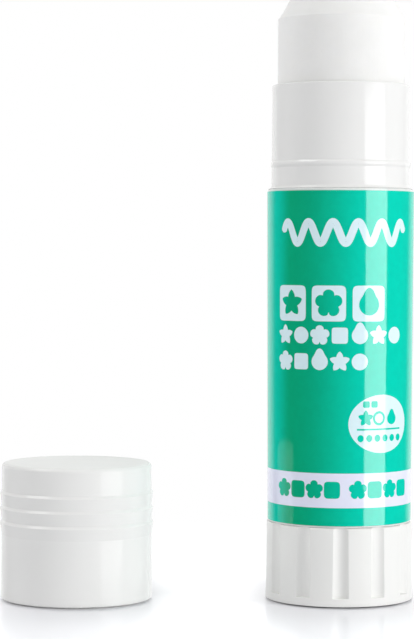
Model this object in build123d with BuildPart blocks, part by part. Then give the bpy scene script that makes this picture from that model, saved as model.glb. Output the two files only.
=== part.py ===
from build123d import *
import os

# Twist-up glue stick in millimetres. It stands on its knob with some glue wound out.
# Z is the axis of the stick and the origin is the centre of its foot.
# The cap is off and stands open end down at the left of the stick.

# Clearances
turning_gap = 0.12
sliding_gap = 0.15
thread_gap = 0.22
cast_gap = 0.02
press_gap = 0.02
film_gap = 0.05
seam_gap = 0.3
overrun = 1.0
sink = 0.3

# Barrel, outside
sleeve_top_radius = 12.475
sleeve_draft = 0.295
sleeve_wall = 1.455
sleeve_length = 56.9
shoulder_round = 0.2
neck_length = 17.75
neck_wall = 0.8
neck_draft = 0.1
neck_fillet = 0.55
rim_round = 0.22
snap_bead_place = 4.15
snap_bead_rise = 0.15
snap_bead_half = 0.55

# Barrel, inside
floor_thickness = 1.5
rib_width = 1.4
rib_depth = 0.7
rib_below_rim = 2.0
rib_first_angle = 30
rib_spread_angle = 120
rib_count = 2
spigot_above_webs = 1.85
spigot_wall = 1.0
catch_rise = 0.3
catch_half = 0.6
catch_above_foot = 1.6

# Label
film_thickness = 0.12
label_foot_margin = 0.25
label_top_margin = 0.45
lap_start_angle = 96
lap_angle = 18

# Twist knob
knob_height = 13.25
knob_proud = 0.035
knob_draft = 0.15
knob_wall = 1.0
knob_floor_thickness = 1.6
knob_foot_round = 0.25
knob_top_round = 0.2
flute_count = 12
flute_width = 2.6
flute_depth = 0.36
flute_phase = 268.3
plain_ring_height = 1.6
dish_depth = 0.4
dish_inner_radius = 4.0
foot_ring_width = 2.26
hub_wall = 1.4
web_count = 6
web_thickness = 0.9
web_height = 2.6

# Lead screw
core_radius = 2.4
thread_outer_radius = 3.5
thread_pitch = 5.0
thread_root_width = 2.2
thread_crest_width = 1.2
screw_below_rim = 12.15
thread_end_margin = 2.0
journal_radius = 3.1
flange_radius = 5.0
flange_thickness = 1.2
root_flats = 5.0
root_sides = 6
root_floor = 3.0
tip_chamfer = 0.8

# Glue
glue_length = 57.1
glue_stand = 14.6
chamfer_height = 3.2
chamfer_width = 1.72
lip_width = 0.14
lip_height = 0.16
screw_room = 0.35
screw_tip_room = 0.4

# Carrier
plate_thickness = 1.2
cup_wall = 0.8
cup_depth = 9.0
nut_wall = 1.3
nut_above_plate = 3.0
nut_below_plate = 5.0
fin_count = 4
fin_thickness = 0.8
fin_height = 6.0
key_gap = 0.2

# Cap
cap_stand_off = 19.555
cap_front_place = 1.4
cap_crown_room = 4.6
cap_top_thickness = 1.1
cap_wall = 0.865
cap_draft = 0.13
cap_top_round = 1.2
cap_rim_round = 0.15
cap_fit_gap = 0.05
crown_step = 0.17
crown_step_below_skirt = 0.3
grip_bead_count = 3
grip_bead_rise = 0.2
grip_bead_pitch = 2.64
grip_bead_below_top = 5.35
grip_bead_above = 0.45
grip_bead_below = 1.5
grip_bead_round = 0.35
ridge_rise = 0.12
ridge_half = 0.4
skirt_reach = 1.6
skirt_wall = 0.8
skirt_gap = 0.08

# Heights on the axis
barrel_foot = knob_height + seam_gap
shoulder = barrel_foot + sleeve_length
rim = shoulder + neck_length
floor_top = barrel_foot + floor_thickness
spigot_foot = knob_floor_thickness + web_height + spigot_above_webs
label_foot = barrel_foot + label_foot_margin
label_top = shoulder - label_top_margin
flange_foot = floor_top + seam_gap
flange_top = flange_foot + flange_thickness
screw_tip = rim - screw_below_rim
glue_top = rim + glue_stand
glue_foot = glue_top - glue_length
chamfer_foot = glue_top - chamfer_height
cup_rim = glue_foot + cup_depth
plate_foot = glue_foot - plate_thickness
nut_foot = plate_foot - nut_below_plate
nut_top = glue_foot + nut_above_plate
wind_down = nut_foot - flange_top - seam_gap
screw_room_top = screw_tip + wind_down + screw_tip_room
ceiling = neck_length + cap_crown_room
cap_height = ceiling + cap_top_thickness

# Radii that follow from the fits
sleeve_foot_radius = sleeve_top_radius - sleeve_draft
bore_radius = sleeve_top_radius - sleeve_wall
glue_radius = bore_radius - sliding_gap
neck_top_radius = bore_radius + neck_wall
neck_foot_radius = neck_top_radius + neck_draft
knob_top_radius = sleeve_top_radius + knob_proud
knob_foot_radius = knob_top_radius + knob_draft
dish_outer_radius = knob_foot_radius - foot_ring_width
knob_bore_radius = knob_top_radius - flute_depth - knob_wall
spigot_radius = knob_bore_radius - turning_gap
spigot_bore_radius = spigot_radius - spigot_wall
floor_hole_radius = journal_radius + turning_gap
carrier_radius = bore_radius - sliding_gap
cup_radius = carrier_radius - cup_wall
nut_bore_radius = thread_outer_radius + thread_gap
nut_radius = nut_bore_radius + nut_wall
hub_radius = journal_radius + hub_wall
cap_bore_radius = neck_foot_radius + snap_bead_rise + cap_fit_gap
cap_foot_radius = cap_bore_radius + cap_wall
cap_top_radius = cap_foot_radius - cap_draft
cap_side_place = knob_foot_radius + cap_foot_radius + cap_stand_off


def radius_between(height, low, low_radius, high, high_radius):
    """Radius at a height of a straight-sided drafted wall."""
    return low_radius + (high_radius - low_radius) * (height - low) / (high - low)


def sleeve_radius(height):
    """Outer radius of the sleeve that carries the label."""
    return radius_between(height, barrel_foot, sleeve_foot_radius, shoulder, sleeve_top_radius)


def rib_section(grow):
    """Cross-section of the ribs in the bore, grown by the same amount on each free face."""
    reach = rib_depth + grow + sink
    centre = bore_radius + sink - reach / 2
    with BuildSketch() as section:
        with PolarLocations(
            centre,
            rib_count,
            start_angle=rib_first_angle,
            angular_range=rib_spread_angle,
            endpoint=True,
        ):
            Rectangle(reach, rib_width + 2 * grow)
    return section.sketch


def fin_section(grow):
    """Cross-section of the fins between the nut and the wall of the cup."""
    reach = cup_radius - nut_radius + 2 * sink
    with BuildSketch() as section:
        with PolarLocations((cup_radius + nut_radius) / 2, fin_count):
            Rectangle(reach, fin_thickness + 2 * grow)
    return section.sketch


def helical_ridge(foot, height, root_radius, tip_radius, root_width, tip_width):
    """Left-hand ridge of trapezium section that starts on the X axis and climbs one pitch in each turn."""
    reach = tip_radius - root_radius
    with BuildPart() as ridge:
        with BuildLine(Plane.XY.offset(foot)) as path:
            Helix(thread_pitch, height, root_radius, lefthand=True)
        with BuildSketch(Plane(path.line @ 0, x_dir=(1, 0, 0), z_dir=path.line % 0)):
            with BuildLine():
                Polyline(
                    (0, -root_width / 2),
                    (reach, -tip_width / 2),
                    (reach, tip_width / 2),
                    (0, root_width / 2),
                    close=True,
                )
            make_face()
        sweep(is_frenet=True)
    return ridge.part


# Barrel
neck_bead_height = shoulder + snap_bead_place
catch_height = spigot_foot + catch_above_foot

with BuildPart() as barrel:
    with BuildSketch(Plane.XZ) as barrel_wall:
        with BuildLine():
            Polyline(
                (spigot_bore_radius, spigot_foot),
                (spigot_radius, spigot_foot),
                (spigot_radius, barrel_foot),
                (sleeve_foot_radius, barrel_foot),
                (sleeve_top_radius, shoulder),
                (neck_foot_radius, shoulder),
                (neck_top_radius, neck_bead_height),
                (neck_top_radius, rim),
                (bore_radius, rim),
                (bore_radius, floor_top),
                (floor_hole_radius, floor_top),
                (floor_hole_radius, barrel_foot),
                (spigot_bore_radius, barrel_foot),
                close=True,
            )
        make_face()
        corners = barrel_wall.vertices()
        fillet(corners.sort_by_distance((neck_foot_radius, shoulder))[0], neck_fillet)
        fillet(corners.sort_by_distance((sleeve_top_radius, shoulder))[0], shoulder_round)
        fillet(corners.sort_by_distance((neck_top_radius, rim))[0], rim_round)
        fillet(corners.sort_by_distance((bore_radius, rim))[0], rim_round)
        with Locations((neck_top_radius, neck_bead_height)):
            Ellipse(snap_bead_rise, snap_bead_half)
        with Locations((spigot_radius, catch_height)):
            Ellipse(catch_rise, catch_half)
    revolve(axis=Axis.Z)
    extrude(Plane.XY.offset(floor_top - sink) * rib_section(0), amount=rim - rib_below_rim - floor_top + sink)

barrel.part.label = "barrel"

# Label, one turn of film with a lap at the back
with BuildPart() as label:
    for turn, first_angle, arc in ((0, 0, 360), (1, lap_start_angle, lap_angle)):
        lift = film_gap + turn * film_thickness
        with BuildSketch(Plane.XZ.rotated((0, 0, first_angle))):
            with BuildLine():
                Polyline(
                    (sleeve_radius(label_foot) + lift, label_foot),
                    (sleeve_radius(label_foot) + lift + film_thickness, label_foot),
                    (sleeve_radius(label_top) + lift + film_thickness, label_top),
                    (sleeve_radius(label_top) + lift, label_top),
                    close=True,
                )
            make_face()
        revolve(axis=Axis.Z, revolution_arc=arc)

label.part.label = "label"

# Twist knob
flute_radius = (flute_width**2 / 4 + flute_depth**2) / (2 * flute_depth)

with BuildPart() as twist_knob:
    with BuildSketch(Plane.XZ) as knob_wall_section:
        with BuildLine():
            Polyline(
                (0, 0),
                (dish_inner_radius, 0),
                (dish_inner_radius, dish_depth),
                (dish_outer_radius, dish_depth),
                (dish_outer_radius, 0),
                (knob_foot_radius, 0),
                (knob_top_radius, knob_height),
                (knob_bore_radius, knob_height),
                (knob_bore_radius, knob_floor_thickness),
                (hub_radius, knob_floor_thickness),
                (hub_radius, knob_height),
                (0, knob_height),
                close=True,
            )
        make_face()
        corners = knob_wall_section.vertices()
        fillet(corners.sort_by_distance((knob_foot_radius, 0))[0], knob_foot_round)
        fillet(corners.sort_by_distance((knob_top_radius, knob_height))[0], knob_top_round)
        with Locations((knob_bore_radius, catch_height)):
            Ellipse(catch_rise + turning_gap, catch_half + turning_gap, mode=Mode.SUBTRACT)
    revolve(axis=Axis.Z)
    with BuildSketch(Plane.XY.offset(plain_ring_height)):
        with PolarLocations(knob_top_radius - flute_depth + flute_radius, flute_count, start_angle=flute_phase):
            Circle(flute_radius)
    extrude(amount=knob_height - plain_ring_height + overrun, mode=Mode.SUBTRACT)
    with BuildSketch(Plane.XY.offset(knob_floor_thickness - sink)):
        with PolarLocations((knob_bore_radius + hub_radius) / 2, web_count):
            Rectangle(knob_bore_radius - hub_radius + 2 * sink, web_thickness)
    extrude(amount=web_height + sink)
    with BuildSketch(Plane.XY.offset(root_floor)):
        RegularPolygon(root_flats / 2 + press_gap, root_sides, major_radius=False)
    extrude(amount=knob_height - root_floor + overrun, mode=Mode.SUBTRACT)

twist_knob.part.label = "twist_knob"

# Lead screw, from the hex root in the hub to the tip inside the glue
thread_foot = flange_top + thread_root_width / 2 + seam_gap
thread_height = screw_tip - thread_end_margin - thread_root_width / 2 - thread_foot

with BuildPart() as lead_screw:
    with BuildSketch(Plane.XY.offset(root_floor + seam_gap)):
        RegularPolygon(root_flats / 2, root_sides, major_radius=False)
    extrude(amount=knob_height - root_floor - seam_gap)
    with BuildSketch(Plane.XZ) as screw_section:
        with BuildLine():
            Polyline(
                (0, knob_height),
                (journal_radius, knob_height),
                (journal_radius, flange_foot),
                (flange_radius, flange_foot),
                (flange_radius, flange_top),
                (core_radius, flange_top),
                (core_radius, screw_tip),
                (0, screw_tip),
                close=True,
            )
        make_face()
        chamfer(screw_section.vertices().sort_by_distance((core_radius, screw_tip))[0], tip_chamfer)
    revolve(axis=Axis.Z)
    add(
        helical_ridge(
            thread_foot,
            thread_height,
            core_radius - sink,
            thread_outer_radius,
            thread_root_width,
            thread_crest_width,
        )
    )

lead_screw.part.label = "lead_screw"

# Carrier, a cup for the foot of the glue with the nut through its plate
nut_ridge_root_width = thread_pitch - thread_crest_width - 2 * thread_gap
nut_ridge_tip_width = thread_pitch - thread_root_width - 2 * thread_gap
nut_thread_foot = nut_foot + nut_ridge_root_width / 2 + seam_gap
nut_thread_height = nut_top - nut_ridge_root_width / 2 - seam_gap - nut_thread_foot
nut_thread_angle = 360 * (thread_foot + thread_pitch / 2 - nut_thread_foot) / thread_pitch

with BuildPart() as carrier_cup:
    with BuildSketch(Plane.XZ):
        with BuildLine():
            Polyline(
                (nut_bore_radius, nut_foot),
                (nut_radius, nut_foot),
                (nut_radius, plate_foot),
                (carrier_radius, plate_foot),
                (carrier_radius, cup_rim),
                (cup_radius, cup_rim),
                (cup_radius, glue_foot),
                (nut_radius, glue_foot),
                (nut_radius, nut_top),
                (nut_bore_radius, nut_top),
                close=True,
            )
        make_face()
    revolve(axis=Axis.Z)
    extrude(Plane.XY.offset(glue_foot - sink) * fin_section(0), amount=fin_height + sink)
    with BuildSketch(Plane.XY.offset(nut_foot)):
        Circle(nut_bore_radius)
    extrude(amount=nut_top - nut_foot, mode=Mode.SUBTRACT)
    extrude(
        Plane.XY.offset(plate_foot - overrun) * rib_section(key_gap),
        amount=cup_rim - plate_foot + 2 * overrun,
        mode=Mode.SUBTRACT,
    )
    add(
        helical_ridge(
            nut_thread_foot,
            nut_thread_height,
            nut_bore_radius + sink,
            core_radius + thread_gap,
            nut_ridge_root_width,
            nut_ridge_tip_width,
        ),
        rotation=(0, 0, nut_thread_angle),
    )

carrier_cup.part.label = "carrier_cup"

# Glue, cast round the nut, the fins and the screw
with BuildPart() as glue_column:
    with BuildSketch(Plane.XZ):
        with BuildLine():
            Polyline(
                (nut_radius + cast_gap, glue_foot + cast_gap),
                (cup_radius - cast_gap, glue_foot + cast_gap),
                (cup_radius - cast_gap, cup_rim + cast_gap),
                (glue_radius, cup_rim + cast_gap),
                (glue_radius, chamfer_foot - lip_height),
                (glue_radius - lip_width, chamfer_foot),
                (glue_radius - lip_width - chamfer_width, glue_top),
                (0, glue_top),
                (0, screw_room_top),
                (thread_outer_radius + screw_room, screw_room_top),
                (thread_outer_radius + screw_room, nut_top + cast_gap),
                (nut_radius + cast_gap, nut_top + cast_gap),
                close=True,
            )
        make_face()
    revolve(axis=Axis.Z)
    extrude(
        Plane.XY.offset(glue_foot) * fin_section(cast_gap),
        amount=fin_height + cast_gap,
        mode=Mode.SUBTRACT,
    )
    extrude(
        Plane.XY.offset(glue_foot) * rib_section(key_gap),
        amount=glue_length + overrun,
        mode=Mode.SUBTRACT,
    )

glue_column.part.label = "glue_column"

# Cap, stood beside the stick
cap_place = Vector(-cap_side_place, -cap_front_place, 0)
cap_plane = Plane(cap_place, x_dir=(1, 0, 0), z_dir=(0, -1, 0))
skirt_radius = bore_radius - skirt_gap
skirt_foot = neck_length - skirt_reach
crown_step_height = skirt_foot - crown_step_below_skirt
crown_bore_radius = cap_bore_radius - crown_step
ridge_height = snap_bead_place - snap_bead_half - ridge_half

with BuildPart() as cap:
    with BuildSketch(cap_plane) as cap_wall_section:
        with BuildLine():
            Polyline(
                (cap_bore_radius, 0),
                (cap_foot_radius, 0),
                (cap_top_radius, cap_height),
                (0, cap_height),
                (0, ceiling),
                (skirt_radius - skirt_wall, ceiling),
                (skirt_radius - skirt_wall, skirt_foot),
                (skirt_radius, skirt_foot),
                (skirt_radius, ceiling),
                (crown_bore_radius, ceiling),
                (crown_bore_radius, crown_step_height),
                (cap_bore_radius, crown_step_height),
                close=True,
            )
        make_face()
        corners = cap_wall_section.vertices()
        fillet(corners.sort_by_distance((cap_top_radius, cap_height))[0], cap_top_round)
        fillet(corners.sort_by_distance((cap_foot_radius, 0))[0], cap_rim_round)
        with Locations((cap_bore_radius, ridge_height)):
            Ellipse(ridge_rise, ridge_half)
        for bead in range(grip_bead_count):
            peak = cap_height - grip_bead_below_top - bead * grip_bead_pitch
            side = radius_between(peak, 0, cap_foot_radius, cap_height, cap_top_radius)
            with BuildSketch(mode=Mode.PRIVATE) as grip_bead:
                with BuildLine():
                    Polyline(
                        (side - sink, peak + grip_bead_above),
                        (side, peak + grip_bead_above),
                        (side + grip_bead_rise, peak),
                        (side, peak - grip_bead_below),
                        (side - sink, peak - grip_bead_below),
                        close=True,
                    )
                make_face()
                peak_corner = grip_bead.vertices().sort_by_distance((side + grip_bead_rise, peak))[0]
                fillet(peak_corner, grip_bead_round)
            add(grip_bead.sketch)
    revolve(axis=Axis(cap_place, (0, 0, 1)))

cap.part.label = "cap"

os.makedirs("parts", exist_ok=True)
export_step(barrel.part, "parts/barrel.step")
export_step(label.part, "parts/label.step")
export_step(twist_knob.part, "parts/twist_knob.step")
export_step(lead_screw.part, "parts/lead_screw.step")
export_step(carrier_cup.part, "parts/carrier_cup.step")
export_step(glue_column.part, "parts/glue_column.step")
export_step(cap.part, "parts/cap.step")

print("knob turns down", wind_down / thread_pitch, "height at rest", glue_top)
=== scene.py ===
"""Glue stick with its cap off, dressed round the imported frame. All lengths are in metres."""

import bpy
import math
import numpy as np
from mathutils import Matrix, Vector


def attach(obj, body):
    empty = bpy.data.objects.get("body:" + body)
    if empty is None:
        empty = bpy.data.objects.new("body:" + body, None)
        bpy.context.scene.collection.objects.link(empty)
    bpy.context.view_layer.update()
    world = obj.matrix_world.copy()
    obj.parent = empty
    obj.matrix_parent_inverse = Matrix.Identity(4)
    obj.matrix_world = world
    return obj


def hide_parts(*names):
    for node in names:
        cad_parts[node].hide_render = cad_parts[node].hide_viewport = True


bl_info = {
    "name": "Glue stick",
    "version": (1, 0, 0),
    "blender": (4, 5, 0),
    "location": "View3D > Sidebar > Glue Stick",
    "description": "Builds a twist-up glue stick and its cap round a packed frame",
    "category": "Object",
}

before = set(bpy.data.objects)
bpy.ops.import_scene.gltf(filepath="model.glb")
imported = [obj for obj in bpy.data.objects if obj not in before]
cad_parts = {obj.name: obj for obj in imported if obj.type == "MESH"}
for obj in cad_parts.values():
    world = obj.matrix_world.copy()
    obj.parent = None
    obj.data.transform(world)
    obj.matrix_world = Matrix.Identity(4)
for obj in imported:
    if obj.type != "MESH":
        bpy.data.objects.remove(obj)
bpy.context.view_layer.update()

MM = 0.001
TURN = 2 * math.pi
FLUTES = 12
RIB_AZIMUTHS = (math.radians(30), math.radians(150))

# Name, azimuth from the camera's side round to its right and height in degrees, distance, width
# and tall in metres, and whether the lamp is for gloss only or for all but gloss.
LAMPS = (
    ("key", 60.5, 14, 1.00, 0.30, 1.00, False),
    ("side", -104, 45, 0.50, 0.45, 0.40, False),
    ("top", -20, 60, 0.60, 0.50, 0.40, False),
    ("strip", 55, -2.5, 0.49, 0.33, 0.20, True),
    ("glint", -75, 46, 0.50, 0.22, 0.26, True),
)


def length(name, millimetres, description):
    """A length that a user may change, given in millimetres and kept in metres."""
    return bpy.props.FloatProperty(
        name=name, description=description, default=millimetres * MM, precision=5, unit="LENGTH"
    )


def angle(name, degrees, description):
    """An angle that a user may change, given in degrees and kept in radians."""
    return bpy.props.FloatProperty(
        name=name, description=description, default=math.radians(degrees), unit="ROTATION"
    )


def colour(name, red, green, blue, description):
    """A colour that a user may change, as linear red, green and blue."""
    default = (red, green, blue)
    return bpy.props.FloatVectorProperty(
        name=name, description=description, default=default, min=0, max=1, subtype="COLOR"
    )


def number(name, value, description):
    """A plain number that a user may change."""
    return bpy.props.FloatProperty(name=name, description=description, default=value, precision=4)


class StickSizes(bpy.types.PropertyGroup):
    """Sizes of the stick, from the frame's foot upwards."""

    knob_height: length("Knob height", 13.42, "Height of the knob over the table")
    knob_foot_radius: length("Knob foot radius", 12.655, "Outer radius of the knob on the table")
    knob_top_radius: length("Knob top radius", 12.51, "Outer radius of the knob below the barrel")
    knob_bore_radius: length("Knob bore radius", 11.15, "Inner radius of the knob")
    knob_floor: length("Knob floor", 1.6, "Thickness of the knob's floor")
    hub_radius: length("Hub radius", 4.5, "Outer radius of the hub that holds the screw")
    root_radius: length("Root radius", 2.95, "Radius of the room for the screw's hex root")
    root_floor: length("Root floor", 3.0, "Height of the floor below the screw's root")
    gate_radius: length("Gate radius", 1.1, "Radius of the gate's dimple under the knob")
    gate_depth: length("Gate depth", 0.12, "Depth of that dimple")
    dish_depth: length("Dish depth", 0.4, "Depth of the ring-shaped dish under the knob")
    dish_inner: length("Dish inner radius", 4.0, "Inner radius of that dish")
    dish_outer: length("Dish outer radius", 10.4, "Outer radius of that dish")
    foot_step: length("Foot step", 0.24, "Height of the step under the knob's edge")
    foot_inset: length("Foot inset", 1.5, "Width of that step")
    flute_depth: length("Flute depth", 0.55, "Depth of a flute at the top of the knob")
    flute_width: length("Flute width", 2.6, "Width of a flute at the top of the knob")
    flute_ledge: length("Flute ledge", 1.6, "Height of the ledge at which the flutes end")
    flute_phase: angle("Flute phase", 268.3, "Azimuth of the first flute")
    barrel_foot: length("Barrel foot", 13.55, "Height of the barrel's foot")
    foot_ring_radius: length("Foot ring radius", 12.32, "Outer radius of the ring below the label")
    foot_ring_height: length("Foot ring height", 0.22, "Height of the ring below the label")
    seat_radius: length("Seat radius", 12.08, "Outer radius of the seat that rests on the knob")
    shoulder: length("Shoulder", 70.45, "Height of the shoulder below the neck")
    rim: length("Rim", 88.2, "Height of the barrel's rim")
    sleeve_foot_radius: length("Sleeve foot radius", 12.18, "Outer radius at the sleeve's foot")
    sleeve_top_radius: length("Sleeve top radius", 12.475, "Outer radius at the shoulder")
    neck_foot_radius: length("Neck foot radius", 11.92, "Outer radius of the neck at the shoulder")
    neck_top_radius: length("Neck top radius", 11.8, "Outer radius of the neck at the rim")
    bore_radius: length("Bore radius", 11.02, "Inner radius of the barrel")
    snap_bead: length("Snap bead", 74.6, "Height of the bead that the cap snaps over")
    snap_bead_rise: length("Snap bead rise", 0.15, "How far that bead stands proud")
    snap_bead_half: length("Snap bead half", 0.55, "Half the height of that bead")
    floor_top: length("Barrel floor", 15.05, "Height of the barrel's inner floor")
    spigot_foot: length("Spigot foot", 6.05, "Height of the foot of the spigot inside the knob")
    spigot_radius: length("Spigot radius", 11.03, "Outer radius of the spigot")
    spigot_bore: length("Spigot bore", 10.03, "Inner radius of the spigot")
    floor_hole: length("Floor hole", 3.22, "Radius of the hole for the screw's journal")
    rib_depth: length("Rib depth", 0.7, "How far the two ribs stand into the bore")
    rib_width: length("Rib width", 1.4, "Width of a rib")


class LabelSizes(bpy.types.PropertyGroup):
    """Sizes of the film and its print."""

    foot: length("Label foot", 13.8, "Height of the film's lower edge")
    top: length("Label top", 70.0, "Height of the film's upper edge")
    film_gap: length("Film gap", 0.05, "Room between the sleeve and the film")
    film: length("Film thickness", 0.12, "Thickness of the film")
    lap_start: angle("Lap start", 96, "Azimuth at which the lap begins")
    lap: angle("Lap", 18, "Angle that the lap spans")
    ink: length("Ink lift", 0.012, "How far each layer of print stands over the one below")
    band_foot: length("Band foot", 16.85, "Lower edge of the white band")
    band_top: length("Band top", 22.65, "Upper edge of the white band")
    badge_height: length("Badge place", 30.9, "Height of the round badge's centre")
    badge_side: length("Badge side", 7.3, "Distance of that centre from the print's middle")
    badge_width: length("Badge width", 12.0, "Width of the badge on the flat film")
    badge_rise: length("Badge rise", 9.8, "Height of the badge")
    facing: angle("Facing", 267.6, "Azimuth of the middle of the print")
    back_facing: angle("Back facing", 46, "Azimuth of the middle of the print behind")


class GlueSizes(bpy.types.PropertyGroup):
    """Sizes of the glue."""

    radius: length("Glue radius", 10.87, "Radius of the glue")
    foot: length("Glue foot", 45.72, "Height of the glue's foot in the cup")
    top: length("Glue top", 102.8, "Height of the glue's top")
    cup_rim: length("Cup rim", 54.72, "Height of the cup's rim")
    cup_radius: length("Cup bore", 10.05, "Radius of the glue inside the cup")
    nut_radius: length("Nut room", 5.04, "Radius of the room for the nut")
    nut_top: length("Nut top", 48.72, "Height of the top of that room")
    screw_radius: length("Screw room", 3.85, "Radius of the room for the screw")
    screw_top: length("Screw room top", 99.1, "Height of the top of that room")
    chamfer_foot: length("Chamfer foot", 99.6, "Height at which the chamfer begins")
    chamfer_width: length("Chamfer width", 1.72, "Width of the chamfer")
    lip_width: length("Lip width", 0.14, "Width of the lip at the foot of the chamfer")
    lip_height: length("Lip height", 0.16, "Height of that lip")
    top_shift: length("Top shift", 0.12, "How far the chamfered top stands off the axis")


class CapSizes(bpy.types.PropertyGroup):
    """Sizes of the cap."""

    side_place: length("Side place", -45.2, "Place of the cap's axis along X")
    front_place: length("Front place", -1.4, "Place of the cap's axis along Y")
    height: length("Cap height", 23.45, "Height of the cap")
    foot_radius: length("Cap foot radius", 12.985, "Outer radius at the cap's rim")
    top_radius: length("Cap top radius", 12.855, "Outer radius at the cap's top")
    top_thickness: length("Top thickness", 1.1, "Thickness of the cap's top")
    bore: length("Cap bore", 12.12, "Inner radius of the cap")
    crown_bore: length("Crown bore", 11.95, "Inner radius near the top")
    crown_step: length("Crown step", 15.85, "Height at which the bore steps in")
    skirt_radius: length("Skirt radius", 10.94, "Outer radius of the sealing skirt")
    skirt_wall: length("Skirt wall", 0.8, "Thickness of the skirt")
    skirt_foot: length("Skirt foot", 16.15, "Height of the skirt's foot")
    foot_step: length("Foot step", 0.28, "Height of the step under the rim's edge")
    foot_inset: length("Foot inset", 0.74, "Width of that step")
    top_round: length("Top round", 0.75, "Radius of the edge of the top")
    bead_peak: length("Bead peak", 18.36, "Height of the uppermost grip bead")
    bead_pitch: length("Bead pitch", 2.53, "Distance from bead to bead")
    bead_top: length("Bead top", 0.42, "Height of a bead's steep upper side")
    bead_rise: length("Bead rise", 0.27, "How far a bead stands proud")


class Colours(bpy.types.PropertyGroup):
    """Colours, linear."""

    barrel: colour("Barrel", 0.80, 0.80, 0.785, "Moulded barrel")
    knob: colour("Knob", 0.82, 0.82, 0.80, "Moulded knob")
    cap: colour("Cap", 0.80, 0.80, 0.785, "Moulded cap")
    inner: colour("Inner parts", 0.72, 0.72, 0.70, "Screw and carrier")
    glue: colour("Glue", 0.82, 0.82, 0.805, "Glue")
    # Deep green and turquoise are the two ends of the film's colour run across X: painted shade at
    # the left, painted light at the right.
    deep: colour("Deep green", 0.0, 0.40, 0.20, "Film of the label at the left")
    film: colour("Turquoise", 0.0, 0.625, 0.46, "Film of the label at the right")
    ink: colour("White ink", 0.78, 0.80, 0.94, "White band on the film")
    pale: colour("Pale ink", 0.70, 0.87, 0.92, "Other white print on the film")
    floor: colour("Floor", 0.86, 0.86, 0.90, "Studio floor")


class StageSizes(bpy.types.PropertyGroup):
    """Camera and light."""

    lens: number("Lens", 127.9, "Focal length for a frame whose long side is 36")
    distance: length("Distance", 391, "Distance of the camera from the stick's axis")
    eye_height: length("Eye height", 59.6, "Height of the camera over the table")
    eye_side: length("Eye side", -22.9, "Place of the camera along X")
    pitch: angle("Pitch", 1.70, "How far the camera looks down")
    roll: angle("Roll", 0.2, "How far the camera is rolled")
    ambient: number("Ambient", 1.05, "Strength of the world's light")
    overhead: number("Overhead", 0.33, "Share of that light that comes from straight above")
    floor_glow: number("Floor glow", 0.30, "Strength added to the floor where the camera sees it")
    key: number("Key lamp", 7.0, "Power of the soft lamp at the right")
    side: number("Side lamp", 0.87, "Power of the soft lamp at the left")
    top: number("Top lamp", 0.1, "Power of the soft lamp above")
    strip: number("Strip lamp", 1.18, "Power of the strip that the gloss mirrors at the right")
    glint: number("Glint lamp", 1.4, "Power of the small lamp that edges mirror at the left")


GROUPS = {
    "stick": StickSizes,
    "label": LabelSizes,
    "glue": GlueSizes,
    "cap": CapSizes,
    "colours": Colours,
    "stage": StageSizes,
}


def rounded(corners, steps=7, margin=0.05 * MM, longest=1.6 * MM, closed=True):
    """Profile through corners (radius, height, round), as an array of points.

    A corner P with round r gives way to an arc about C = P + b r / sin(a), where a is half the
    angle between its sides and b the unit bisector. The arc runs from the point r / tan(a) back
    along the first side to the same point along the second. Straight runs get a point at each
    margin and more between, so that shading stays even next to a round.
    """
    corners = np.array(corners, float)
    points, radii = corners[:, :2], corners[:, 2]
    back = np.roll(points, 1, 0) - points
    ahead = np.roll(points, -1, 0) - points
    back /= np.linalg.norm(back, axis=1, keepdims=True)
    ahead /= np.linalg.norm(ahead, axis=1, keepdims=True)
    half = np.arccos(np.clip((back * ahead).sum(1), -1, 1)) / 2
    bisector = back + ahead
    bisector /= np.linalg.norm(bisector, axis=1, keepdims=True)
    centre = points + bisector * (radii / np.sin(half))[:, None]
    reach = (radii / np.tan(half))[:, None]
    first = points + back * reach - centre
    last = points + ahead * reach - centre
    sweep = (math.pi - 2 * half)[:, None, None]
    t = np.linspace(0, 1, steps + 1)[None, :, None]
    arcs = np.sin((1 - t) * sweep) * first[:, None] + np.sin(t * sweep) * last[:, None]
    arcs = list(centre[:, None] + arcs / np.sin(sweep))
    if not closed:
        arcs[0], arcs[-1] = points[:1], points[-1:]
    runs = []
    for arc, following in zip(arcs, arcs[1:] + (arcs[:1] if closed else [])):
        start, end = arc[-1], following[0]
        span = np.linalg.norm(end - start)
        runs.append(arc)
        if span > 3 * margin:
            inset = margin / span
            shares = np.linspace(inset, 1 - inset, max(2, int(span / longest) + 2))
            runs.append(start + shares[:, None] * (end - start))
    if not closed:
        runs.append(arcs[-1])
    return np.concatenate(runs)


def ring_angles(count):
    """Even angles of one turn."""
    return np.arange(count) * TURN / count


def polar(turn, radius, height, centre=(0, 0)):
    """Places (r cos a, r sin a, z) for angles a, radii r and heights z, from a centre."""
    x, y = centre[0] + radius * np.cos(turn), centre[1] + radius * np.sin(turn)
    return np.stack((x, y, height + 0 * x), -1)


def lathe(profile, angles, change=None, centre=(0, 0)):
    """Grid of a turned surface, with a row for each profile point and a column for each angle.

    change(a, r, z) gives a new radius, for flutes and grooves.
    """
    radius, height = profile[:, :1], profile[:, 1:]
    if change:
        radius = change(angles, radius, height)
    return polar(angles, radius, height, centre)


def grid_faces(points, wrap_rows, wrap_columns):
    """Quads of a grid of points, with triangles where a row shrinks to a pole."""
    rows, columns = points.shape[:2]
    index = np.arange(rows * columns).reshape(rows, columns)
    pole = np.ptp(points, axis=1).max(1) < 1e-9
    index[pole] = index[pole][:, :1]
    if wrap_rows:
        index = np.concatenate((index, index[:1]))
    if wrap_columns:
        index = np.concatenate((index, index[:, :1]), 1)
    around = (index[:-1, :-1], index[:-1, 1:], index[1:, 1:], index[1:, :-1])
    quads = np.stack(around, -1).reshape(-1, 4)
    low, high = quads[:, 0] == quads[:, 1], quads[:, 2] == quads[:, 3]
    whole = quads[~low & ~high]
    thirds = np.concatenate((quads[low & ~high][:, [0, 2, 3]], quads[high & ~low][:, [0, 1, 2]]))
    return whole, thirds


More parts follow.
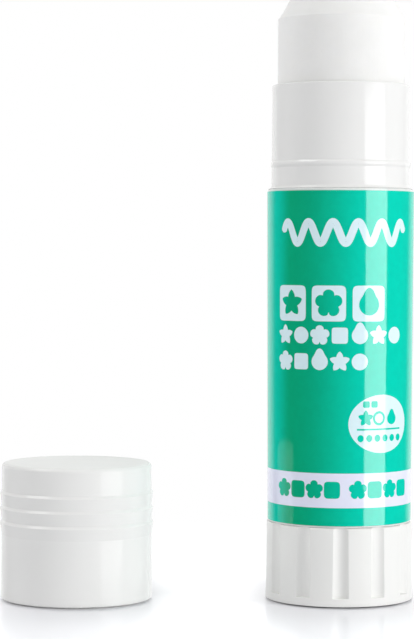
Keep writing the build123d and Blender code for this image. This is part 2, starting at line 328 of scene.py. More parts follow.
def piece(name, grids, material, body, replaced=()):
    """One mesh object from grids of points, given as (points, wrap_rows, wrap_columns)."""
    places, quads, thirds, count = [], [], [], 0
    for points, wrap_rows, wrap_columns in grids:
        whole, part = grid_faces(points, wrap_rows, wrap_columns)
        places.append(points.reshape(-1, 3))
        quads.append(whole + count)
        thirds.append(part + count)
        count += points.shape[0] * points.shape[1]
    places, quads, thirds = map(np.concatenate, (places, quads, thirds))
    used, flat = np.unique(np.concatenate((quads.ravel(), thirds.ravel())), return_inverse=True)
    quads, thirds = flat[: quads.size].reshape(-1, 4), flat[quads.size :].reshape(-1, 3)
    mesh = bpy.data.meshes.new(name)
    mesh.from_pydata(places[used].tolist(), [], quads.tolist() + thirds.tolist())
    mesh.polygons.foreach_set("use_smooth", np.ones(len(mesh.polygons), bool))
    mesh.set_sharp_from_angle(angle=math.radians(50))
    mesh.materials.append(material)
    made = bpy.data.objects.new(name, mesh)
    bpy.context.scene.collection.objects.link(made)
    if body:
        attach(made, body)
    if replaced:
        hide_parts(*replaced)
    return made


class Wire:
    """A shader socket. Python's operators on it add Math nodes, whichever side it stands on."""

    def __init__(self, finish, socket):
        self.finish = finish
        self.socket = socket

    def __add__(self, other):
        return self.finish.math("ADD", self, other)

    def __rsub__(self, other):
        return self.finish.math("SUBTRACT", other, self)

    def __mul__(self, other):
        return self.finish.math("MULTIPLY", self, other)

    __radd__ = __add__
    __rmul__ = __mul__


class Finish:
    """The node tree of one material or of the world."""

    def __init__(self, name, owner=None):
        self.material = owner or bpy.data.materials.new(name)
        self.material.use_nodes = True
        self.tree = self.material.node_tree
        self.tree.nodes.clear()

    def node(self, kind, settings=(), inputs=(), output=0):
        """Any node: its type, settings, values or links of its sockets, and the output wanted."""
        made = self.tree.nodes.new(kind)
        for key, value in dict(settings).items():
            setattr(made, key, value)
        for key, value in dict(inputs).items():
            self.feed(made.inputs[key], value)
        return Wire(self, made.outputs[output]) if made.outputs else None

    def feed(self, socket, value):
        """Link a wire to a socket, or set the socket's own value."""
        if isinstance(value, Wire):
            self.tree.links.new(value.socket, socket)
        else:
            socket.default_value = value

    def math(self, operation, *values):
        """A Math node on wires or numbers."""
        return self.node("ShaderNodeMath", {"operation": operation}, dict(enumerate(values)))

    def vector(self, operation, *values):
        """A Vector Math node on wires or triples of numbers."""
        return self.node("ShaderNodeVectorMath", {"operation": operation}, dict(enumerate(values)))

    def distance(self, centre, stretch=1):
        """Millimetres from a centre, with the part along X stretched."""
        away = self.vector("MULTIPLY", self.millimetres(centre), (stretch, 1, 1))
        return self.node("ShaderNodeVectorMath", {"operation": "LENGTH"}, {0: away}, "Value")

    def ramp(self, value, low, high, first=0.0, last=1.0):
        """Smooth step from first to last as value goes from low to high."""
        return self.node(
            "ShaderNodeMapRange",
            {"interpolation_type": "SMOOTHSTEP"},
            {0: value, 1: low, 2: high, 3: first, 4: last},
        )

    def mix(self, share, first, second):
        """Colour between first and second."""
        return self.node(
            "ShaderNodeMix", {"data_type": "RGBA"}, {0: share, 6: paint(first), 7: paint(second)}, 2
        )

    def millimetres(self, centre=(0, 0, 0)):
        """Object coordinates in millimetres, from a centre."""
        place = self.node("ShaderNodeTexCoord", output="Object")
        place = self.vector("SUBTRACT", place, centre)
        return self.vector("MULTIPLY", place, (1000, 1000, 1000))

    def noise(self, place, scale, detail=2.0, roughness=0.5, stretch=(1, 1, 1)):
        """Noise between 0 and 1, with scale in waves for each millimetre."""
        place = self.vector("MULTIPLY", place, stretch)
        inputs = {"Vector": place, "Scale": scale, "Detail": detail, "Roughness": roughness}
        return self.node("ShaderNodeTexNoise", inputs=inputs)

    def parts(self, place):
        """The three parts of a vector."""
        first = self.node("ShaderNodeSeparateXYZ", inputs={0: place})
        return [Wire(self, socket) for socket in first.socket.node.outputs]

    def bump(self, height, distance, below=None):
        """Bump normal from a height between 0 and 1 that stands for a distance in metres."""
        inputs = {"Distance": distance, "Height": height}
        if below:
            inputs["Normal"] = below
        return self.node("ShaderNodeBump", inputs=inputs)

    def shade(self, **inputs):
        """The Principled shader and the material's output. Underscores stand for spaces."""
        named = {key.replace("_", " "): value for key, value in inputs.items()}
        shader = self.node("ShaderNodeBsdfPrincipled", inputs=named)
        self.node("ShaderNodeOutputMaterial", inputs={"Surface": shader})
        return self.material


def paint(value):
    """A colour with its alpha, or a wire as it is."""
    return value if isinstance(value, Wire) else (*value[:3], 1.0)


def ease(value):
    """Smooth step 3 v^2 - 2 v^3 of a value v held between 0 and 1."""
    value = np.clip(value, 0, 1)
    return value * value * (3 - 2 * value)


def moulded(name, base, rough, gloss, centre=(0, 0), parting=0.0, scuff=0.0, matt=None):
    """Moulded white plastic: flow marks, draw lines, a parting line, hairlines, a scuffed foot.

    matt is the height in millimetres of a flat top that is duller than the sides.
    """
    f = Finish(name)
    place = f.millimetres((*centre, 0))
    y, z = f.parts(place)[1:]
    flow = f.noise(place, 0.14, 3, 0.55, (1, 1, 0.4))
    cloud = f.noise(place, 0.5, 2)
    grain = f.noise(place, 5.0, 2, 0.6)
    draw = f.noise(place, 2.2, 2, 0.6, (1, 1, 0.03))
    hairline = f.ramp(f.noise(place, 1.3, 4, 0.65, (1, 1, 0.10)), 0.62, 0.74)
    foot = f.ramp(z, 0.9, 0.1) * f.ramp(grain, 0.35, 0.60) * scuff
    seam = f.ramp(f.math("ABSOLUTE", y), 0.09, 0.03) * parting
    tone = f.mix(f.ramp(flow, 0.3, 0.7), [c * 0.988 for c in base], base)
    tone = f.mix(foot, tone, [c * 0.80 for c in base])
    roughness = rough + cloud * 0.03 + hairline * 0.06 + foot * 0.15
    if matt:
        roughness += f.ramp(z, matt - 0.5, matt - 0.1) * 0.22
    ripples = f.bump(flow * 0.8 + cloud * 0.2 + seam * 0.3, 0.010 * MM)
    normal = f.bump(draw * 0.6 + grain * 0.3 + hairline * 0.3, 0.0008 * MM, ripples)
    return f.shade(
        Base_Color=tone, Roughness=roughness, Normal=normal, IOR=1.49, Specular_IOR_Level=gloss
    )


def glue_finish(base):
    """Waxy glue: cloudy, a little see-through, with wipe marks up the side and small pits."""
    f = Finish("glue")
    place = f.millimetres()
    cloud = f.noise(place, 0.22, 4, 0.6)
    wipe = f.noise(place, 0.9, 3, 0.6, (1, 1, 0.08))
    pit = f.node("ShaderNodeTexVoronoi", inputs={"Vector": place, "Scale": 0.8})
    pit = f.ramp(pit, 0.11, 0.03) * f.ramp(cloud, 0.45, 0.6)
    tone = f.mix(f.ramp(cloud, 0.3, 0.7), [c * 0.975 for c in base], base)
    tone = f.mix(pit * 0.25, tone, [c * 0.88 for c in base])
    roughness = 0.40 + cloud * 0.12 + wipe * 0.08
    height = f.bump(wipe * 0.6 + cloud * 0.5, 0.03 * MM)
    normal = f.bump(1 - pit, 0.02 * MM, height)
    return f.shade(
        Base_Color=tone,
        Roughness=roughness,
        Normal=normal,
        Subsurface_Weight=0.3,
        Subsurface_Scale=0.002,
        Subsurface_Radius=(1.0, 0.95, 0.85),
        IOR=1.42,
        Specular_IOR_Level=0.04,
    )


def film_finish(name, left, right, dark):
    """Glossy printed film: colour that runs from the first to the second across X as painted shade
    and painted light, mottle, waves and hairlines.
    """
    f = Finish(name)
    place = f.millimetres()
    x = f.parts(place)[0]
    # The second colour comes in towards the right, and once more at the very left, as painted
    # light; the first colour between them is painted shade.
    share = f.math("MAXIMUM", f.ramp(x, -9, 6), f.ramp(x, -8.8, -11.4))
    base = f.mix(share, left, right)
    darker = f.mix(share, [c * dark for c in left], [c * dark for c in right])
    mottle = f.noise(place, 0.8, 3, 0.6)
    wave = f.noise(place, 0.07, 2, 0.5, (1, 1, 0.6))
    hairline = f.ramp(f.noise(place, 1.6, 4, 0.7, (1, 1, 0.15)), 0.62, 0.74)
    tone = f.mix(f.ramp(mottle, 0.3, 0.7), darker, base)
    roughness = 0.07 + mottle * 0.03 + hairline * 0.06
    normal = f.bump(wave, 0.03 * MM)
    return f.shade(Base_Color=tone, Roughness=roughness, Normal=normal, IOR=1.5)


def inner_finish(base):
    """Natural moulded plastic of the parts inside, with a film of grease and glue dust."""
    f = Finish("inner_white")
    place = f.millimetres()
    cloud = f.noise(place, 0.35, 3)
    dust = f.ramp(f.noise(place, 1.5, 3), 0.55, 0.7)
    tone = f.mix(dust * 0.5, base, [c * 0.93 for c in base])
    normal = f.bump(cloud + dust * 0.3, 0.01 * MM)
    return f.shade(Base_Color=tone, Roughness=0.38 + dust * 0.2, Normal=normal)


class Sheet:
    """The printed film. It lays flat places, side along the wrap and tall up it, on the barrel."""

    def __init__(self, stick, label, facing):
        self.stick, self.label, self.facing = stick, label, facing

    def sleeve(self, height):
        """Outer radius of the barrel's drafted sleeve, in a straight line from foot to shoulder."""
        s = self.stick
        along = (height - s.barrel_foot) / (s.shoulder - s.barrel_foot)
        return s.sleeve_foot_radius + (s.sleeve_top_radius - s.sleeve_foot_radius) * along

    def film(self, turn, height):
        """Outer radius of the film: one thickness, or two in the lap, with slopes between."""
        b = self.label
        slope = 0.003
        turn = np.mod(turn, TURN)
        up = np.clip((turn - b.lap_start) / slope, 0, 1)
        down = np.clip((b.lap_start + b.lap - turn) / slope, 0, 1)
        return self.sleeve(height) + b.film_gap + b.film * (1 + np.minimum(up, down))

    def wrap(self, side, tall, layer):
        """Places at the angles a = facing + side / r, some layers of ink over the film."""
        b = self.label
        turn = self.facing + side / (self.sleeve((b.foot + b.top) / 2) + b.film)
        return polar(turn, self.film(turn, tall) + layer * b.ink, tall)

    def line(self, path, width, layer=1, count=90):
        """Closed thin ribbon along path(t), whose half width shrinks on a circle at both ends."""
        t = np.linspace(0, 1, count)
        place = path(t) * MM
        step = np.gradient(place, axis=0)
        long = np.linalg.norm(step, axis=1)
        along = np.cumsum(long) - long[0]
        normal = np.stack((step[:, 1], -step[:, 0]), -1) / long[:, None]
        half = width * MM / 2
        close = np.minimum(np.minimum(along, along[-1] - along) / half, 1)
        half = half * np.sqrt(1 - (1 - close) ** 2)
        across = half[:, None] * np.linspace(-1, 1, 7)
        side = place[:, :1] + normal[:, :1] * across
        tall = place[:, 1:] + normal[:, 1:] * across
        above, below = self.wrap(side, tall, layer), self.wrap(side, tall, layer - 2)
        return np.concatenate((above, below[:, ::-1]), 1), False, True

    def spot(self, side, tall, outline, layer=1, rings=6, spokes=72, inner=None):
        """Closed thin patch round a centre, out to outline(angle), or a ring from inner(angle)."""
        around = ring_angles(spokes)
        share = np.linspace(0, 1, rings)[:, None]
        low = inner(around) if inner else 0 * around
        reach = (low + share * (outline(around) - low)) * MM
        x, z = side * MM + reach * np.cos(around), tall * MM + reach * np.sin(around)
        above, below = self.wrap(x, z, layer), self.wrap(x, z, layer - 2)
        if inner:
            return np.concatenate((above, below[::-1])), True, True
        return np.concatenate((above, below[-2::-1])), False, True


def disc(width, height=None):
    """Outline of an oval of two half widths p and q: 1 / sqrt((cos a / p)^2 + (sin a / q)^2)."""
    return box(2 * width, 2 * (height or width), 2)


def box(width, height, power=7):
    """Outline of a rounded box: (|2 cos a / width|^p + |2 sin a / height|^p)^(-1/p)."""
    return lambda a: (
        np.abs(np.cos(a) / (width / 2)) ** power + np.abs(np.sin(a) / (height / 2)) ** power
    ) ** (-1 / power)


def star(radius, points=5, deep=0.45):
    """Outline of a star: the radius falls in a straight line from each point to each notch."""
    return lambda a: radius * (1 - deep + deep * np.abs((a / TURN - 0.25) * points % 1 - 0.5) * 2)


def drop(radius):
    """Outline of a drop: radius (0.72 + 0.42 s^10), with s = sin a, or 0 below the centre."""
    return lambda a: radius * (0.72 + 0.42 * np.clip(np.sin(a), 0, 1) ** 10)


def flower(radius, petals=5):
    """Outline of a flower: radius (0.62 + 0.38 sqrt|cos(petals (a - 90 degrees) / 2)|)."""
    return lambda a: radius * (0.62 + 0.38 * np.abs(np.cos(petals * (a - math.pi / 2) / 2)) ** 0.5)


def triangle(radius):
    """Outline of a triangle, tip down: radius / (2 cos b), b the angle from a side's middle."""
    third = TURN / 3
    return lambda a: radius / 2 / np.cos((a - math.pi / 6) % third - third / 2)


def level(start, end, height):
    """Path in a straight level line."""
    return lambda t: np.stack((start + (end - start) * t, height + 0 * t), -1)


class BuildBarrel(bpy.types.Operator):
    """Barrel: sleeve, shoulder, neck with its snap bead, bore with two ribs, floor and spigot"""

    bl_idname = "stick.barrel"
    bl_label = "Barrel"
    bl_options = {"REGISTER", "UNDO"}

    def execute(self, context):
        s = context.scene.stick
        top, bead, rise, half = s.neck_top_radius, s.snap_bead, s.snap_bead_rise, s.snap_bead_half

        def neck(height):
            along = (height - s.shoulder) / (s.rim - s.shoulder)
            return s.neck_foot_radius + (top - s.neck_foot_radius) * along

        edge, small, soft = 0.04 * MM, 0.2 * MM, 0.3 * MM
        seat = s.knob_height + 0.01 * MM
        ring_top = s.barrel_foot + s.foot_ring_height
        corners = [
            (s.spigot_bore, s.spigot_foot, edge),
            (s.spigot_radius, s.spigot_foot, small),
            (s.spigot_radius, seat, edge),
            (s.seat_radius, seat, edge),
            (s.seat_radius, s.barrel_foot, edge),
            (s.foot_ring_radius, s.barrel_foot, 0.08 * MM),
            (s.foot_ring_radius, ring_top, edge),
            (s.sleeve_foot_radius, ring_top, edge),
            (s.sleeve_top_radius, s.shoulder, small),
            (neck(s.shoulder), s.shoulder, 0.55 * MM),
            (neck(bead - half), bead - half, soft),
            (neck(bead) + rise, bead - half * 0.25, soft),
            (neck(bead) + rise, bead + half * 0.45, 0.12 * MM),
            (neck(bead + half), bead + half, 0.15 * MM),
            (top, s.rim, 0.12 * MM),
            (s.bore_radius, s.rim, small),
            (s.bore_radius, s.floor_top, soft),
            (s.floor_hole, s.floor_top, edge),
            (s.floor_hole, s.barrel_foot, edge),
            (s.spigot_bore, s.barrel_foot, soft),
        ]
        grids = [(lathe(rounded(corners), ring_angles(288)), True, True)]

        def boxy(wave):
            """Sine or cosine w as sign(w) |w|^0.35, which turns a round section into a boxy one."""
            return np.sign(wave) * np.abs(wave) ** 0.35

        # Each rib is sunk into the wall, and its ends taper over a twelfth of its height.
        t = np.linspace(0, 1, 33)[:, None]
        section = ring_angles(32)
        sink, top_gap = 0.3 * MM, 2 * MM
        taper = np.clip(np.minimum(t, 1 - t) * 12, 0, 1) ** 0.4
        across = boxy(np.sin(section)) * s.rib_width / 2 * taper
        inward = boxy(np.cos(section)) * taper
        reach = s.bore_radius + sink - (s.rib_depth + sink) / 2 * (1 + inward)
        low, high = s.floor_top - sink, s.rim - top_gap
        for azimuth in RIB_AZIMUTHS:
            x = reach * math.cos(azimuth) - across * math.sin(azimuth)
            y = reach * math.sin(azimuth) + across * math.cos(azimuth)
            grids.append((np.stack((x, y, low + (high - low) * t + 0 * x), -1), False, True))
        white = context.scene.colours.barrel
        finish = moulded("barrel_white", white, 0.08, 0.3, parting=0.5)
        piece("barrel_body", grids, finish, "barrel", ["barrel"])
        return {"FINISHED"}


class BuildKnob(bpy.types.Operator):
    """Twist knob: fluted wall over a plain ring, dished underside with a gate mark, hub and bore"""

    bl_idname = "stick.knob"
    bl_label = "Twist knob"
    bl_options = {"REGISTER", "UNDO"}

    def execute(self, context):
        s = context.scene.stick
        edge, small = 0.05 * MM, 0.1 * MM
        corners = [
            (0, s.gate_depth, 0),
            (s.gate_radius, s.gate_depth, small),
            (s.gate_radius, 0, small),
            (s.dish_inner, 0, 0.15 * MM),
            (s.dish_inner, s.dish_depth, small),
            (s.dish_outer, s.dish_depth, small),
            (s.dish_outer, 0, 0.15 * MM),
            (s.knob_foot_radius - s.foot_inset, 0, edge),
            (s.knob_foot_radius - s.foot_inset, s.foot_step, edge),
            (s.knob_foot_radius, s.foot_step, 0.07 * MM),
            (s.knob_top_radius, s.knob_height, 0.3 * MM),
            (s.knob_bore_radius, s.knob_height, small),
            (s.knob_bore_radius, s.knob_floor, 0.3 * MM),
            (s.hub_radius, s.knob_floor, 0.3 * MM),
            (s.hub_radius, s.knob_height, small),
            (s.root_radius, s.knob_height, edge),
            (s.root_radius, s.root_floor, edge),
            (0, s.root_floor, 0),
        ]
        profile = rounded(corners, closed=False)
        # Rows lie closest at the ledge, and take the place of the profile's own points there.
        fine = np.array([-0.10, -0.05, -0.02, 0.0, 0.02, 0.05, 0.10, 0.16, 0.24])
        fine = s.flute_ledge + fine * MM
        rising = np.arange(len(profile)) < np.argmax(profile[:, 1])
        wall = np.interp(fine, [0, s.knob_height], [s.knob_foot_radius, s.knob_top_radius])
        outside = rising & (profile[:, 0] > s.dish_outer + MM)
        below = outside & (profile[:, 1] < fine[0]) | rising & ~outside
        above = outside & (profile[:, 1] > fine[-1]) | ~rising
        profile = np.concatenate((profile[below], np.stack((wall, fine), -1), profile[above]))
        cutter = (s.flute_width**2 / 4 + s.flute_depth**2) / (2 * s.flute_depth)
        reach = s.knob_top_radius - s.flute_depth + cutter
        period = TURN / FLUTES
        blend, beyond, far_out = 0.03 * MM, math.radians(9), 1.0
        ledge_start, ledge_rise = s.flute_ledge - 0.04 * MM, 0.12 * MM
        wall_start = s.knob_bore_radius + 0.9 * MM

        def fluted(turn, radius, height):
            """Soft minimum r - k ln(1 + exp((r - h) / k)) of wall r and hollow h over the ledge."""
            off = (turn - s.flute_phase + period / 2) % period - period / 2
            within = np.maximum(cutter**2 - (reach * np.sin(off)) ** 2, 0)
            hollow = reach * np.cos(off) - np.sqrt(within)
            hollow = np.where(np.abs(off) > beyond, far_out, hollow)
            cut = radius - blend * np.log1p(np.exp(np.clip((radius - hollow) / blend, -30, 30)))
            share = ease((height - ledge_start) / ledge_rise)
            return np.where(radius > wall_start, radius + (cut - radius) * share, radius)

        # Columns lie closest where the hollow's edge meets the wall, 6 degrees from its middle.
        half = [15, 12, 10, 8.8, 8, 7.5, 7.1, 6.8, 6.5, 6.25]
        half += [6, 5.75, 5.5, 5.2, 4.8, 4.2, 3.4, 2.4, 1.2]
        columns = np.radians([-step for step in half] + [0] + half[:0:-1])
        angles = (s.flute_phase + np.arange(FLUTES)[:, None] * period + columns).ravel()
        points = lathe(profile, angles, fluted)
        white = context.scene.colours.knob
        finish = moulded("knob_white", white, 0.30, 0.2, scuff=0.5)
        piece("knob_body", [(points, False, True)], finish, "knob", ["twist_knob"])
        return {"FINISHED"}


class BuildInside(bpy.types.Operator):
    """Lead screw and carrier cup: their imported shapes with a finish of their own"""

    bl_idname = "stick.inside"
    bl_label = "Screw and carrier"
    bl_options = {"REGISTER", "UNDO"}

    def execute(self, context):
        finish = inner_finish(context.scene.colours.inner)
        for name in ("lead_screw", "carrier_cup"):
            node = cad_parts[name]
            node.data.materials.clear()
            node.data.materials.append(finish)
        return {"FINISHED"}


class BuildGlue(bpy.types.Operator):
    """Glue: chamfered top with a lip, grooves from the barrel's ribs, hollow for nut and screw"""

    bl_idname = "stick.glue"
    bl_label = "Glue"
    bl_options = {"REGISTER", "UNDO"}

    def execute(self, context):
        g, s = context.scene.glue, context.scene.stick
        edge = 0.08 * MM
        inner = g.radius - g.lip_width
        corners = [
            (0, g.screw_top, 0),
            (g.screw_radius, g.screw_top, edge),
            (g.screw_radius, g.nut_top, edge),
            (g.nut_radius, g.nut_top, edge),
            (g.nut_radius, g.foot, edge),
            (g.cup_radius, g.foot, edge),
            (g.cup_radius, g.cup_rim, edge),
            (g.radius, g.cup_rim, edge),
            (g.radius, g.chamfer_foot - g.lip_height * 0.2, 0.12 * MM),
            (inner, g.chamfer_foot, 0.05 * MM),
            (inner - g.chamfer_width, g.top, 0.2 * MM),
            (0, g.top, 0),
        ]
        floor = s.bore_radius - s.rib_depth - 0.2 * MM
        half = math.asin((s.rib_width / 2 + 0.2 * MM) / g.radius)
        slope, margin, close = 0.008, 0.014, 0.012

        def grooved(turn, radius, height):
            """Radius cut back to the groove's floor near the azimuth of each rib."""
            cut = radius
            for azimuth in RIB_AZIMUTHS:
                off = np.abs((turn - azimuth + math.pi) % TURN - math.pi)
                cut = cut + (np.minimum(cut, floor) - cut) * ease((half + slope / 2 - off) / slope)
            return np.where(radius > floor - 1.5 * MM, cut, radius)

        # Columns lie closest at the sides of each groove.
        angles = ring_angles(256)
        fine = np.linspace(-close, close, 9)
        for azimuth in RIB_AZIMUTHS:
            angles = angles[np.abs(np.abs(angles - azimuth) - half) > margin]
            angles = np.concatenate((angles, azimuth - half + fine, azimuth + half + fine))
        points = lathe(rounded(corners, closed=False, steps=6), np.sort(angles), grooved)
        points[..., 0] += g.top_shift * ease((points[..., 2] - g.chamfer_foot) / MM)
        finish = glue_finish(context.scene.colours.glue)
        piece("glue_body", [(points, False, True)], finish, "glue", ["glue_column"])
        return {"FINISHED"}


class BuildCap(bpy.types.Operator):
    """Cap: flat top, three grip beads, snap ridge and sealing skirt inside"""

    bl_idname = "stick.cap"
    bl_label = "Cap"
    bl_options = {"REGISTER", "UNDO"}

    def execute(self, context):
        c = context.scene.cap
        edge, small = 0.08 * MM, 0.2 * MM
        ceiling = c.height - c.top_thickness
        inside = c.skirt_radius - c.skirt_wall
        ridge, ridge_half, ridge_rise = 3.2 * MM, 0.4 * MM, 0.12 * MM

        def wall(height):
            return c.foot_radius + (c.top_radius - c.foot_radius) * height / c.height

        corners = [
            (0, ceiling, 0),
            (inside, ceiling, small),
            (inside, c.skirt_foot, small),
            (c.skirt_radius, c.skirt_foot, small),
            (c.skirt_radius, ceiling, small),
            (c.crown_bore, ceiling, small),
            (c.crown_bore, c.crown_step, edge),
            (c.bore, c.crown_step, edge),
            (c.bore, ridge + ridge_half, small),
            (c.bore - ridge_rise, ridge, small),
            (c.bore, ridge - ridge_half, small),
            (c.bore, 0, 0.1 * MM),
            (c.foot_radius - c.foot_inset, 0, 0.05 * MM),
            (c.foot_radius - c.foot_inset, c.foot_step, 0.05 * MM),
            (c.foot_radius, c.foot_step, 0.07 * MM),
        ]
        for bead in (2, 1, 0):
            peak = c.bead_peak - bead * c.bead_pitch
            start = peak - c.bead_pitch + c.bead_top + 0.12 * MM
            corners += [
                (wall(start), start, 0.9 * MM),
                (wall(peak) + c.bead_rise, peak - 0.02 * MM, 0.2 * MM),
                (wall(peak + c.bead_top), peak + c.bead_top, 0.16 * MM),
            ]
        corners += [(c.top_radius, c.height, c.top_round), (0, c.height, 0)]
        centre = (c.side_place, c.front_place)
        points = lathe(rounded(corners, closed=False), ring_angles(288), centre=centre)
        white = context.scene.colours.cap
        finish = moulded(
            "cap_white", white, 0.10, 0.18, centre, parting=0.7, scuff=0.5, matt=c.height / MM
        )
        piece("cap_body", [(points, False, True)], finish, "cap", ["cap"])
        return {"FINISHED"}


class BuildLabel(bpy.types.Operator):
    """Label: film with its lap behind, white band, and a generic print of simple shapes"""

    bl_idname = "stick.label"
    bl_label = "Label"
    bl_options = {"REGISTER", "UNDO"}

    def execute(self, context):
        s, b = context.scene.stick, context.scene.label
        front, back = Sheet(s, b, b.facing), Sheet(s, b, b.back_facing)
        # Columns lie closest at the two ends of the lap.
        ends = np.array([b.lap_start, b.lap_start + b.lap])
        fine = np.array([-0.0015, 0.0, 0.001, 0.002, 0.003, 0.0045])
        angles, margin = ring_angles(288), 0.009
        angles = angles[np.abs(angles[:, None] - ends).min(1) > margin]
        turn = np.sort(np.concatenate((angles, ends[0] + fine, ends[1] - fine)))
        edge = 0.03 * MM
        low, high = b.foot, b.top
        middle = np.linspace(low, high, 57)[1:-1]
        height = np.concatenate(([low, low, low + edge], middle, [high - edge, high, high]))
        inset = np.zeros(len(height))
        inset[[0, -1]] = b.film / 2
        outer = front.film(turn, height[:, None]) - inset[:, None]
        inner = front.sleeve(height[::-1])[:, None] + b.film_gap + 0 * turn
        radius = np.concatenate((outer, inner))
        shell = polar(turn, radius, np.concatenate((height, height[::-1]))[:, None])
        paints = context.scene.colours
        # The film's green runs from deep at the left to turquoise at the right: painted shade and
        # painted light.
        green = film_finish("label_film", paints.deep, paints.film, 0.95)
        white = film_finish("label_ink", paints.ink, paints.ink, 0.985)
        pale = film_finish("label_pale", paints.pale, paints.pale, 0.985)
        piece("label_film", [(shell, True, True)], green, "barrel", ["label"])

        tall = np.linspace(b.band_foot, b.band_top, 7)
        tall = np.concatenate((tall[:1], tall, tall[-1:]))[:, None]
        lift = np.array([-1] + [1] * 7 + [-1])[:, None]
        belt = polar(turn, front.film(turn, tall) + lift * b.ink, tall)

        def trail(t):
            """Wave of glue: side = start + run t, height = row + rise sin(360 degrees count t)."""
            start, run, row, rise, count = -10.9, 23.2, 62.95, 1.75, 5.5
            return np.stack((start + run * t, row + rise * np.sin(t * TURN * count)), -1)

        # Flat places in millimetres: side from the middle of the print, and height over the table.
        badge, badge_row = b.badge_side / MM, b.badge_height / MM
        badge_outline = disc(b.badge_width / MM / 2, b.badge_rise / MM / 2)
        tiles, tile_row = (-9.0, -2.1, 4.8), 51.1
        icons, icon_row = (-5.7, 0, 5.7), 39
        row_start, row_pitch = -10.4, 3.4
        band_start, band_pitch, band_gap, band_row = -10.7, 3.1, 1.3, 19.85
        small = [star(1.75), disc(1.4), flower(1.7), box(2.7, 2.7), drop(1.95)]
        whites = [front.line(trail, 1.3, 1, 320)]
        whites += [front.spot(x, tile_row, box(5.8, 6.0, 9)) for x in tiles]
        for row, count, first in ((45.75, 7, 0), (41.35, 5, 2)):
            for n in range(count):
                x = row_start + row_pitch * n
                whites.append(front.spot(x, row, small[(n + first) % 5], rings=5))
        whites.append(front.spot(badge, badge_row, badge_outline, 1, 12, 120))
        whites += [back.spot(x, icon_row, box(4.9, 4.9, 9)) for x in icons]
        for row, end in ((33.6, 8), (32.0, 8), (30.4, 3)):
            whites.append(back.line(level(-8, end, row), 0.45))
        whites.append(back.spot(0, 55, disc(5.0), 1, 5, 120, inner=disc(4.5)))
        whites.append(back.spot(0, 54.7, drop(3.6)))

        on_front = (
            (tiles[0], tile_row, star(2.3)),
            (tiles[1], tile_row, flower(2.35)),
            (tiles[2], tile_row - 0.2, drop(2.5)),
            (badge - 2.9, badge_row + 3.3, box(1.2, 1.1, 5), 4),
            (badge - 1.4, badge_row + 3.3, box(1.2, 1.1, 5), 4),
            (badge - 3.0, badge_row + 0.95, star(1.4)),
            (badge - 0.5, badge_row + 0.95, disc(1.2), 4, 72, disc(0.8)),
            (badge + 2.2, badge_row + 0.85, drop(1.4)),
        )
        on_back = (
            (icons[0], icon_row - 0.1, drop(1.8)),
            (icons[2], icon_row - 0.4, triangle(1.9)),
            (icons[1], icon_row, disc(1.7), 4, 72, disc(1.25)),
            (icons[1], icon_row, star(0.9), 4),
        )
        greens = [
            sheet.spot(x, row, outline, 2, *detail)
            for sheet, spots in ((front, on_front), (back, on_back))
            for x, row, outline, *detail in spots
        ]
        greens.append(front.line(level(badge - 4.6, badge + 4.4, badge_row - 0.9), 0.28, 2))
        for n in range(6):
            x = badge - 3.9 + 1.55 * n
            greens.append(front.spot(x, badge_row - 2.4, disc(0.55, 0.6), 2, 4, 32))
        for n in range(8):
            x = band_start + band_pitch * n + (band_gap if n > 3 else 0)
            greens.append(front.spot(x, band_row, (flower(1.6), box(2.75, 2.85, 5))[n % 2], 2, 5))
        piece("label_band", [(belt, True, True)], white, "barrel")
        piece("label_print_white", whites, pale, "barrel")
        piece("label_print_green", greens, green, "barrel")
        return {"FINISHED"}


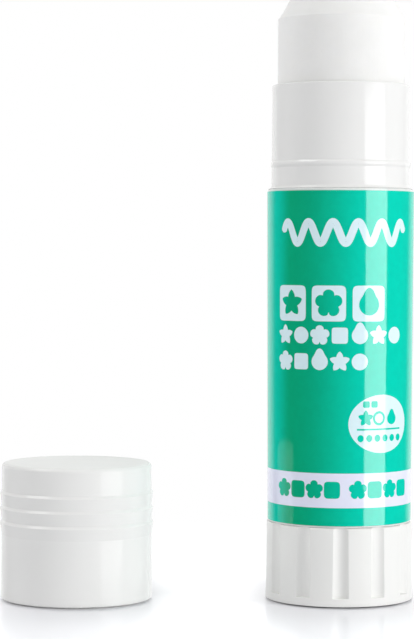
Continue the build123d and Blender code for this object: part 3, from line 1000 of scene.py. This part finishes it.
class BuildStage(bpy.types.Operator):
    """Stage: pale floor whose glow leaves an oval of painted shade over the real shadow round each
    foot, soft light and the camera
    """

    bl_idname = "stick.stage"
    bl_label = "Stage"
    bl_options = {"REGISTER", "UNDO"}

    def execute(self, context):
        scene = context.scene
        g, c = scene.stage, scene.cap
        f = Finish("floor")
        seen = f.node("ShaderNodeLightPath", output="Is Camera Ray")
        # The glow comes back with the distance from each foot, in two steps, so that an oval of
        # painted shade stays round each foot over its real shadow.
        glow_beyond_painted_shade = []
        for centre in ((0, 0, 0), (c.side_place, c.front_place, 0)):
            close = f.ramp(f.distance(centre, 2), 14, 44)
            wide = f.ramp(f.distance(centre, 3.6), 42, 60)
            glow_beyond_painted_shade.append(close * 0.63 + wide * 0.37)
        glow = f.mix(f.math("MINIMUM", *glow_beyond_painted_shade) * seen, (0, 0, 0), (1, 1, 1))
        surface = f.node(
            "ShaderNodeBsdfPrincipled",
            inputs={
                "Base Color": paint(scene.colours.floor),
                "Roughness": 0.12,
                "Emission Color": glow,
                "Emission Strength": g.floor_glow,
            },
        )
        far = f.ramp(f.distance((c.side_place / 2, 0, 0)), 50, 110)
        backdrop = f.node("ShaderNodeEmission", inputs={"Color": (1, 1, 1, 1)})
        surface = f.node("ShaderNodeMixShader", inputs={0: far * seen, 1: surface, 2: backdrop})
        clear = f.node("ShaderNodeBsdfTransparent")
        behind = f.node("ShaderNodeNewGeometry", output="Backfacing")
        both = f.node("ShaderNodeMixShader", inputs={0: behind, 1: surface, 2: clear})
        f.node("ShaderNodeOutputMaterial", inputs={"Surface": both})
        profile = np.array([(radius, 0) for radius in (6.0, 1.0, 0.2, 0.05, 0)])
        points = lathe(profile, ring_angles(64))
        floor = piece("floor", [(points, False, True)], f.material, None)
        floor.visible_glossy = False

        world = bpy.data.worlds.new("studio")
        scene.world = world
        w = Finish("studio", world)
        camera_ray, glossy, through = (
            w.node("ShaderNodeLightPath", output=name)
            for name in ("Is Camera Ray", "Is Glossy Ray", "Is Transmission Ray")
        )
        # Of the direction that a ray goes in, y points away from the camera and z up.
        y, z = w.parts(w.node("ShaderNodeTexCoord", output="Generated"))[1:]
        mirror = w.math("MAXIMUM", glossy, through)
        behind = w.ramp(y, 0.56, 0.84)
        above = w.ramp(z, 0.10, 0.24)
        mirrored = 0.06 + w.math("MAXIMUM", behind * 0.94, above * 0.45)
        soft = w.ramp(z, 0.1, 1.0, g.ambient, g.ambient * g.overhead)
        strength = mirror * mirrored + (1 - mirror) * soft
        strength = camera_ray + (1 - camera_ray) * strength
        light = w.node("ShaderNodeBackground", inputs={"Color": (1, 1, 1, 1), "Strength": strength})
        w.node("ShaderNodeOutputWorld", inputs={"Surface": light})

        aim = Vector((0, 0, 50 * MM))
        for name, azimuth, height, distance, width, tall, gloss_only in LAMPS:
            turn, lift = math.radians(azimuth), math.radians(height)
            out = math.cos(lift)
            away = Vector((math.sin(turn) * out, -math.cos(turn) * out, math.sin(lift)))
            data = bpy.data.lights.new(name, "AREA")
            data.shape = "RECTANGLE"
            data.size, data.size_y = width, tall
            data.energy = getattr(g, name)
            made = bpy.data.objects.new(name, data)
            made.location = aim + away * distance
            made.rotation_euler = (-away).to_track_quat("-Z", "Y").to_euler()
            made.visible_glossy = gloss_only
            made.visible_diffuse = not gloss_only
            made.visible_camera = False
            scene.collection.objects.link(made)

        camera = bpy.data.cameras.new("camera")
        camera.lens = g.lens
        camera.sensor_width = 36
        eye = bpy.data.objects.new("camera", camera)
        scene.collection.objects.link(eye)
        turn = Matrix.Rotation(math.pi / 2 - g.pitch, 4, "X") @ Matrix.Rotation(g.roll, 4, "Z")
        eye.matrix_world = Matrix.Translation((g.eye_side, -g.distance, g.eye_height)) @ turn
        scene.camera = eye
        scene.view_settings.view_transform = "Standard"
        return {"FINISHED"}


OPERATORS = (BuildBarrel, BuildLabel, BuildKnob, BuildInside, BuildGlue, BuildCap, BuildStage)


class StickPanel(bpy.types.Panel):
    """Panel that lists the sizes, the colours and the operators"""

    bl_idname = "VIEW3D_PT_glue_stick"
    bl_label = "Glue stick"
    bl_space_type = "VIEW_3D"
    bl_region_type = "UI"
    bl_category = "Glue Stick"

    def draw(self, context):
        for operator in OPERATORS:
            self.layout.operator(operator.bl_idname)
        for name, group in GROUPS.items():
            column = self.layout.box()
            column.label(text=name.capitalize())
            for key in group.__annotations__:
                column.prop(getattr(context.scene, name), key)


def register():
    for name, group in GROUPS.items():
        bpy.utils.register_class(group)
        setattr(bpy.types.Scene, name, bpy.props.PointerProperty(type=group))
    for operator in OPERATORS:
        bpy.utils.register_class(operator)
    bpy.utils.register_class(StickPanel)


def unregister():
    bpy.utils.unregister_class(StickPanel)
    for operator in reversed(OPERATORS):
        bpy.utils.unregister_class(operator)
    for name, group in GROUPS.items():
        delattr(bpy.types.Scene, name)
        bpy.utils.unregister_class(group)


def main():
    """Build every piece and the stage."""
    register()
    for operator in OPERATORS:
        group, name = operator.bl_idname.split(".")
        getattr(getattr(bpy.ops, group), name)()


if __name__ == "__main__":
    main()
